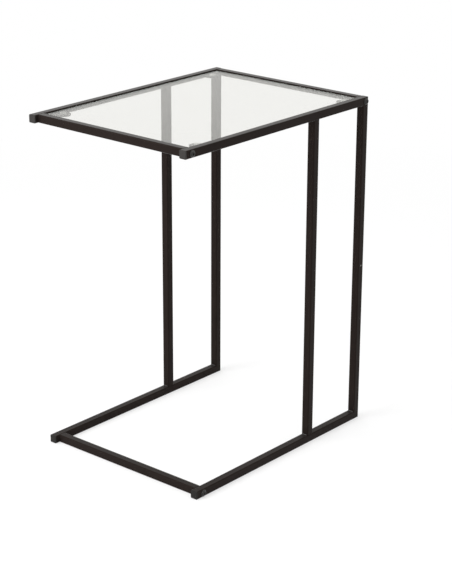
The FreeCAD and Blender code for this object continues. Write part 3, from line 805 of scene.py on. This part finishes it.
class SIDETABLE_OT_threaded_inserts(bpy.types.Operator):
    """Zinc plate the threaded inserts in the cross rails"""

    bl_idname = "sidetable.threaded_inserts"
    bl_label = "Threaded Inserts"

    def execute(self, context):
        zinc = bare_steel("zinc_plated_steel", context.scene.table_finishes.zinc_colour)
        paint_nodes(INSERT_PAIRS, zinc)
        return {"FINISHED"}


class SIDETABLE_OT_vent_rims(bpy.types.Operator):
    """Line the vent hole of each rear post with its bare, countersunk steel rim"""

    bl_idname = "sidetable.vent_rims"
    bl_label = "Vent Rims"

    def model_rim(self, radius, depth):
        """One rim along Z: its outer face at 0, and a sink that narrows below."""
        edge, overrun = 0.06 * MM, 0.1 * MM
        narrow, wide = radius * 0.45, radius * 0.93
        bpy.ops.mesh.primitive_cylinder_add(
            vertices=40, radius=radius, depth=depth, location=(0.0, 0.0, -depth / 2))
        rim = bpy.context.object
        settle(rim)
        bpy.ops.mesh.primitive_cone_add(
            vertices=40, radius1=narrow, radius2=wide, depth=depth + 2 * overrun,
            location=(0.0, 0.0, -depth / 2))
        sink = bpy.context.object
        settle(sink)
        cut_away(rim, sink)
        soften(rim, edge, angle=38.0)
        smooth(rim, angle=30.0)
        return rim

    def execute(self, context):
        sizes = context.scene.table_sizes
        steel = bare_steel("bare_drilled_steel", context.scene.table_finishes.rim_colour)
        deselect_all()
        rim = self.model_rim(sizes.vent_width / 2, sizes.tube_wall)
        rims = []
        for side, way in SIDES.items():
            low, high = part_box(side + "_rear_post")
            wall = high.x if way > 0 else low.x
            place = Matrix.Translation((wall, (low.y + high.y) / 2, sizes.vent_height))
            rims.append(copy_of(rim, "rim", place @ Matrix.Rotation(way * pi / 2, 4, "Y")))
        finished(joined(rims, "vent_rims"), "vent_rims", steel, "frame", "zinc_steel")
        bpy.data.objects.remove(rim)
        return {"FINISHED"}


class SIDETABLE_OT_end_caps(bpy.types.Operator):
    """Mould the end caps in the open front ends of the side rails"""

    bl_idname = "sidetable.end_caps"
    bl_label = "End Caps"

    def model_cap(self, sizes, width, depth):
        """One cap along Z: its outer face at 0 and its plug below."""
        head = sizes.cap_head
        bpy.ops.mesh.primitive_cube_add(
            size=1.0, scale=(width, width, head), location=(0.0, 0.0, -head / 2))
        cap = bpy.context.object
        settle(cap)
        edit(cap, "EDGE")
        pick_edges(cap, lambda first, second: abs(first.z - second.z) > head / 2)
        bpy.ops.mesh.bevel(offset=sizes.tube_radius, segments=6, affect="EDGES")
        pick_edges(cap, lambda first, second: min(first.z, second.z) > -head / 4)
        bpy.ops.mesh.bevel(offset=sizes.cap_edge, segments=5, affect="EDGES")
        bpy.ops.mesh.select_mode(type="FACE")
        pick_faces(cap, looks_down)
        bore = width - 2 * sizes.tube_wall
        # room between the tube and the plug's core, and between the tube and its ribs
        core_gap, rib_gap = 1.0 * MM, 0.15 * MM
        core = bore - 2 * core_gap
        bpy.ops.mesh.inset(thickness=(width - core) / 2)
        pitch = (depth - head) / (2 * sizes.cap_ribs + 1)
        swell = (bore - 2 * rib_gap) / core
        rib_taper, plug_taper = 0.985, 0.94
        for _ in range(sizes.cap_ribs):
            step_out(-pitch)
            step_out(0.0, swell)
            step_out(-pitch, rib_taper)
            step_out(0.0, 1 / (swell * rib_taper))
        step_out(-pitch, plug_taper)
        bpy.ops.object.mode_set(mode="OBJECT")
        face_outwards(cap)
        smooth(cap, angle=30.0)
        return cap

    def execute(self, context):
        sizes = context.scene.table_sizes
        finishes = context.scene.table_finishes
        # the caps of the base rails get a darker copy of the same plastic, which is painted shade
        # for the lesser light low by the floor
        plastics = {
            "top": cap_plastic("moulded_black_plastic", finishes.cap_colour),
            "base": cap_plastic("foot_cap_plastic_painted_shade", finishes.foot_cap_painted_shade_colour),
        }
        size = size_of(END_CAPS[0])
        deselect_all()
        cap = self.model_cap(sizes, size.x, size.y)
        for node in END_CAPS:
            low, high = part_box(node)
            place = Matrix.Translation(((low.x + high.x) / 2, low.y, (low.z + high.z) / 2))
            place = place @ Matrix.Rotation(pi / 2, 4, "X")
            piece = copy_of(cap, node.replace("_end_cap", "_moulded_cap"), place)
            plastic = plastics[node.split("_")[1]]
            finished(piece, piece.name, plastic, "frame", "cap_plastic", node)
        bpy.data.objects.remove(cap)
        return {"FINISHED"}


class SIDETABLE_OT_glass_pads(bpy.types.Operator):
    """Mould the clear pads that the pane rests on"""

    bl_idname = "sidetable.glass_pads"
    bl_label = "Glass Pads"

    def model_pad(self, sizes, diameter, height):
        """One pad with a rounded upper edge, standing on Z 0."""
        bpy.ops.mesh.primitive_cylinder_add(
            vertices=56, radius=diameter / 2, depth=height, location=(0.0, 0.0, height / 2))
        pad = bpy.context.object
        settle(pad)
        edit(pad, "EDGE")
        pick_edges(pad, lambda first, second: min(first.z, second.z) > height * 0.9)
        bpy.ops.mesh.bevel(offset=sizes.pad_edge, segments=6, affect="EDGES")
        foot_edge = 0.2 * MM
        pick_edges(pad, lambda first, second: max(first.z, second.z) < height * 0.1)
        bpy.ops.mesh.bevel(offset=foot_edge, segments=2, affect="EDGES")
        bpy.ops.object.mode_set(mode="OBJECT")
        smooth(pad, angle=30.0)
        return pad

    def execute(self, context):
        sizes = context.scene.table_sizes
        plastic = clear_plastic(context.scene.table_finishes)
        size = size_of(PADS[0])
        deselect_all()
        pad = self.model_pad(sizes, size.x, size.z)
        for node in PADS:
            low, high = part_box(node)
            place = Matrix.Translation(((low.x + high.x) / 2, (low.y + high.y) / 2, low.z))
            piece = copy_of(pad, node.replace("_glass_pad", "_clear_pad"), place)
            finished(piece, piece.name, plastic, "frame", "clear_pad", node)
        bpy.data.objects.remove(pad)
        return {"FINISHED"}


class SIDETABLE_OT_glass_pane(bpy.types.Operator):
    """Cut the glass pane, round its corners and grind its edges"""

    bl_idname = "sidetable.glass_pane"
    bl_label = "Glass Pane"

    def execute(self, context):
        sizes = context.scene.table_sizes
        finishes = context.scene.table_finishes
        low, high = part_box("glass_top")
        size = high - low
        deselect_all()
        bpy.ops.mesh.primitive_cube_add(size=1.0, scale=size, location=(low + high) / 2)
        pane = bpy.context.object
        settle(pane)
        edit(pane, "EDGE")
        pick_edges(pane, lambda first, second: abs(first.z - second.z) > size.z / 2)
        bpy.ops.mesh.bevel(offset=sizes.glass_corner, segments=6, affect="EDGES")
        pick_edges(pane, lambda first, second: abs(first.z - second.z) < size.z / 2)
        bpy.ops.mesh.bevel(offset=sizes.glass_arris, segments=2, affect="EDGES")
        bpy.ops.object.mode_set(mode="OBJECT")
        face_outwards(pane)
        smooth(pane, angle=20.0)
        finished(pane, "glass_pane", pane_glass(finishes), "glass", "clear_glass", "glass_top")
        pane.data.materials.append(ground_edge(finishes))
        polished, ground = 0, 1
        for face in pane.data.polygons:
            face.material_index = polished if abs(face.normal.z) > FLAT else ground
        return {"FINISHED"}


# ---------------------------------------------------------------- stage


def studio_sees(tree):
    """One for the rays that look at the background: straight, mirrored or through glass."""
    path = tree.nodes.new("ShaderNodeLightPath")
    first = tree.nodes.new("ShaderNodeMath")
    first.operation = "ADD"
    tree.links.new(path.outputs["Is Camera Ray"], first.inputs[0])
    tree.links.new(path.outputs["Is Glossy Ray"], first.inputs[1])
    second = tree.nodes.new("ShaderNodeMath")
    second.operation = "ADD"
    second.use_clamp = True
    tree.links.new(first.outputs["Value"], second.inputs[0])
    tree.links.new(path.outputs["Is Transmission Ray"], second.inputs[1])
    return second.outputs["Value"]


def studio_floor(studio):
    """Matt white floor whose shadow is partly lifted, and which is plain white farther away."""
    material, tree, shader = new_material("white_studio_floor")
    shader.inputs["Base Color"].default_value = FLOOR_WHITE
    shader.inputs["Roughness"].default_value = 1.0
    shader.inputs["Specular IOR Level"].default_value = 0.0
    output = next(node for node in tree.nodes if node.type == "OUTPUT_MATERIAL")
    glow = add_node(tree, "ShaderNodeEmission", Strength=1.0)
    away = tree.nodes.new("ShaderNodeVectorMath")
    away.operation = "LENGTH"
    tree.links.new(object_place(tree), away.inputs[0])
    share = tree.nodes.new("ShaderNodeMath")
    share.operation = "MULTIPLY"
    tree.links.new(studio_sees(tree), share.inputs[0])
    lifted = spread(
        tree, away.outputs["Value"], low=studio.floor_clear, high=1.0, start=0.6, end=2.2)
    tree.links.new(lifted, share.inputs[1])
    blend = tree.nodes.new("ShaderNodeMixShader")
    tree.links.new(share.outputs["Value"], blend.inputs["Fac"])
    tree.links.new(shader.outputs["BSDF"], blend.inputs[1])
    tree.links.new(glow.outputs["Emission"], blend.inputs[2])
    tree.links.new(blend.outputs["Shader"], output.inputs["Surface"])
    return material


def white_world(studio):
    """White surroundings to look at, and a softer dome to light with."""
    world = bpy.data.worlds.new("white_studio")
    world.use_nodes = True
    tree = world.node_tree
    tree.nodes.clear()
    seen = tree.nodes.new("ShaderNodeBackground")
    dome = tree.nodes.new("ShaderNodeBackground")
    dome.inputs["Strength"].default_value = studio.dome_light
    seen.inputs["Color"].default_value = BACKDROP_WHITE
    dome.inputs["Color"].default_value = LIGHT_WHITE
    blend = tree.nodes.new("ShaderNodeMixShader")
    output = tree.nodes.new("ShaderNodeOutputWorld")
    tree.links.new(studio_sees(tree), blend.inputs["Fac"])
    tree.links.new(dome.outputs["Background"], blend.inputs[1])
    tree.links.new(seen.outputs["Background"], blend.inputs[2])
    tree.links.new(blend.outputs["Shader"], output.inputs["Surface"])
    bpy.context.scene.world = world


def soft_lamp(name, place, aim, size, power):
    """A square soft lamp at place, turned to aim."""
    lamp = bpy.data.lights.new(name, "AREA")
    lamp.shape = "SQUARE"
    lamp.size = size
    lamp.energy = power
    holder = bpy.data.objects.new(name, lamp)
    bpy.context.collection.objects.link(holder)
    holder.location = place
    holder.rotation_euler = (Vector(aim) - Vector(place)).to_track_quat("-Z", "Y").to_euler()


class SIDETABLE_OT_stage(bpy.types.Operator):
    """Set the white floor, the soft studio light and the camera"""

    bl_idname = "sidetable.stage"
    bl_label = "Stage"

    def execute(self, context):
        studio = context.scene.studio_settings
        low, high = CAD_BOX
        middle = (low + high) / 2
        deselect_all()
        floor_width = 60.0
        bpy.ops.mesh.primitive_plane_add(size=floor_width, location=(0.0, 0.0, low.z))
        floor = bpy.context.object
        floor.name = "studio_floor"
        settle(floor)
        floor.data.materials.append(studio_floor(studio))
        white_world(studio)
        soft_lamp("overhead_softbox", place=(0.0, 0.3, 3.2), aim=middle,
                  size=3.0, power=studio.overhead_light)
        soft_lamp("front_softbox", place=(-0.6, -1.7, 1.15), aim=(0.0, 0.0, 0.4),
                  size=1.6, power=studio.front_light)
        self.set_camera(context, studio, middle)
        return {"FINISHED"}

    def set_camera(self, context, studio, middle):
        """Stand the camera off the table in its direction and aim it past the table's middle."""
        azimuth, elevation = studio.camera_azimuth, studio.camera_elevation
        roll = studio.camera_roll
        along = cos(elevation)
        back = Vector((sin(azimuth) * along, -cos(azimuth) * along, sin(elevation)))
        across = Vector((cos(azimuth), sin(azimuth), 0.0))
        up = back.cross(across)
        right = across * cos(roll) + up * sin(roll)
        above = up * cos(roll) - across * sin(roll)
        place = middle + back * studio.camera_distance + right * studio.aim_across
        place -= above * studio.aim_below
        lens = bpy.data.cameras.new("studio_camera")
        lens.lens = studio.camera_lens
        camera = bpy.data.objects.new("studio_camera", lens)
        bpy.context.collection.objects.link(camera)
        camera.matrix_world = Matrix((right, above, back)).transposed().to_4x4()
        camera.location = place
        context.scene.camera = camera
        context.scene.view_settings.view_transform = "Standard"


# ---------------------------------------------------------------- add-on


class SIDETABLE_PT_panel(bpy.types.Panel):
    """Side table tools in the sidebar"""

    bl_idname = "SIDETABLE_PT_panel"
    bl_label = "Side Table"
    bl_space_type = "VIEW_3D"
    bl_region_type = "UI"
    bl_category = "Side Table"

    def draw(self, context):
        layout = self.layout
        for operator in OPERATORS:
            layout.operator(operator.bl_idname)
        scene = context.scene
        for settings in (scene.table_sizes, scene.table_finishes, scene.studio_settings):
            box = layout.box()
            for name in settings.bl_rna.properties.keys():
                if name not in {"rna_type", "name"}:
                    box.prop(settings, name)


OPERATORS = [
    SIDETABLE_OT_tube_frame,
    SIDETABLE_OT_weld_beads,
    SIDETABLE_OT_button_bolts,
    SIDETABLE_OT_threaded_inserts,
    SIDETABLE_OT_vent_rims,
    SIDETABLE_OT_end_caps,
    SIDETABLE_OT_glass_pads,
    SIDETABLE_OT_glass_pane,
    SIDETABLE_OT_stage,
]
CLASSES = [TableSizes, TableFinishes, StudioSettings, *OPERATORS, SIDETABLE_PT_panel]


def register():
    for cls in CLASSES:
        bpy.utils.register_class(cls)
    bpy.types.Scene.table_sizes = PointerProperty(type=TableSizes)
    bpy.types.Scene.table_finishes = PointerProperty(type=TableFinishes)
    bpy.types.Scene.studio_settings = PointerProperty(type=StudioSettings)


def unregister():
    del bpy.types.Scene.studio_settings
    del bpy.types.Scene.table_finishes
    del bpy.types.Scene.table_sizes
    for cls in reversed(CLASSES):
        bpy.utils.unregister_class(cls)


def main():
    register()
    bpy.ops.sidetable.tube_frame()
    bpy.ops.sidetable.weld_beads()
    bpy.ops.sidetable.button_bolts()
    bpy.ops.sidetable.threaded_inserts()
    bpy.ops.sidetable.vent_rims()
    bpy.ops.sidetable.end_caps()
    bpy.ops.sidetable.glass_pads()
    bpy.ops.sidetable.glass_pane()
    bpy.ops.sidetable.stage()


if __name__ == "__main__":
    main()
